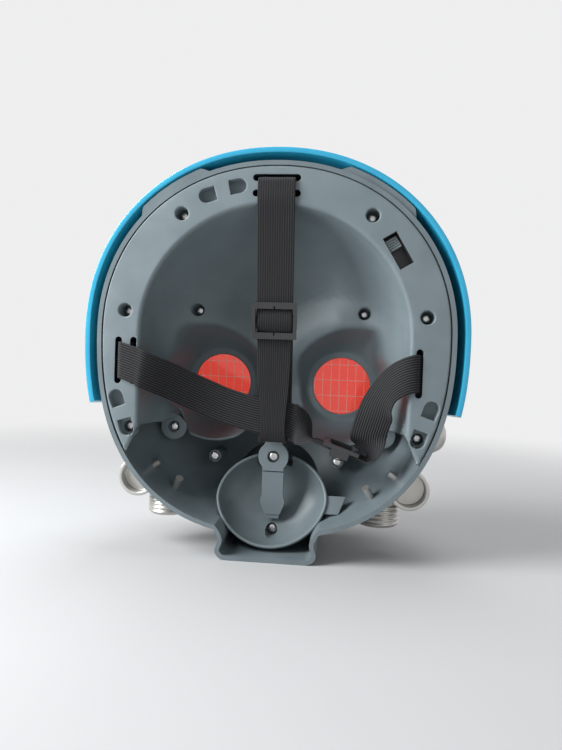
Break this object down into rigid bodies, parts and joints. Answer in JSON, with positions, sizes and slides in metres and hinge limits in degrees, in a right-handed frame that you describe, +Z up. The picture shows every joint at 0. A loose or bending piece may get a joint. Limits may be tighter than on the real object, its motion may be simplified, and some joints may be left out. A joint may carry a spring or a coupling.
{
  "type": "role-play breathing mask",
  "caption": "Rigid plastic role-play breathing mask with a hood moulding, goggle eyes, a mouth lever, a slide switch and elastic head straps with sliders; stands on its chin.",
  "frame": {"origin": "middle of the chin's flat base", "axes": "+Z up, +Y towards the mask's front, +X to the right as seen from the wearer's side"},
  "size_m": [0.2078, 0.0911, 0.2227],
  "materials": {
    "grey_plastic": "satin moulded",
    "blue_plastic": "gloss",
    "silver_plastic": "silver paint",
    "elastic_web": "woven elastic",
    "black_plastic": "satin",
    "tinted_lens": "clear tinted plastic",
    "steel": "zinc plated",
    "board": "circuit board",
    "dark_plastic": "satin"
  },
  "bodies": {
    "mask": {"battery_box": "dark_plastic", "battery_cell_1": "steel", "battery_cell_2": "steel", "bowl_screw_left": "steel", "bowl_screw_right": "steel", "cheek_knob_left": "silver_plastic", "cheek_knob_right": "silver_plastic", "cheek_screw_left": "steel", "cheek_screw_right": "steel", "circuit_board": "board", "cup_screw": "steel", "eye_lens_left": "tinted_lens", "eye_lens_right": "tinted_lens", "eye_screw_left": "steel", "eye_screw_right": "steel", "front_shell": "grey_plastic", "hood": "blue_plastic", "jaw_canister_left": "silver_plastic", "jaw_canister_right": "silver_plastic", "jaw_disc_left": "silver_plastic", "jaw_disc_right": "silver_plastic", "lens_bezel_left": "silver_plastic", "lens_bezel_right": "silver_plastic", "lever_head": "grey_plastic", "lever_screw": "steel", "mouth_cup": "grey_plastic", "muzzle_cap": "silver_plastic", "rear_liner": "grey_plastic", "side_screw_left": "steel", "side_screw_right": "steel", "side_strap": "elastic_web", "speaker": "dark_plastic", "switch_body": "dark_plastic", "top_strap": "elastic_web", "top_strap_tail": "elastic_web", "trigger_switch": "dark_plastic", "upper_screw_left": "steel", "upper_screw_right": "steel", "well_screw_left": "steel", "well_screw_right": "steel"},
    "switch_knob": {"switch_knob": "grey_plastic"},
    "mouth_lever": {"mouth_lever": "grey_plastic"},
    "trigger_plunger": {"trigger_plunger": "dark_plastic"},
    "top_buckle": {"top_buckle": "black_plastic"},
    "side_buckle": {"side_buckle": "black_plastic"}
  },
  "joints": [
    {"name": "switch_slide", "type": "slide", "parent": "mask", "child": "switch_knob", "axis": [0.515, 0, -0.8572], "range_m": [0, 0.0065]},
    {"name": "lever_flex", "type": "hinge", "parent": "mask", "child": "mouth_lever", "pos_m": [0, -0.0098, 0.0445], "axis": [1, 0, 0], "range_deg": [0, 6], "stiffness_Nm_per_rad": 0.35},
    {"name": "plunger_push", "type": "slide", "parent": "mask", "child": "trigger_plunger", "axis": [0, 1, 0], "range_m": [0, 0.0027]},
    {"name": "top_buckle_slide", "type": "slide", "parent": "mask", "child": "top_buckle", "axis": [0, -0.1628, 0.9867], "range_m": [-0.012, 0.012], "deforming": ["top_strap_tail"]},
    {"name": "side_buckle_slide", "type": "slide", "parent": "mask", "child": "side_buckle", "axis": [0.949, 0, -0.3152], "range_m": [-0.005, 0.002]}
  ],
  "couplings": [
    {"joint": "plunger_push", "follows": "lever_flex", "m_per_rad": 0.0226}
  ]
}
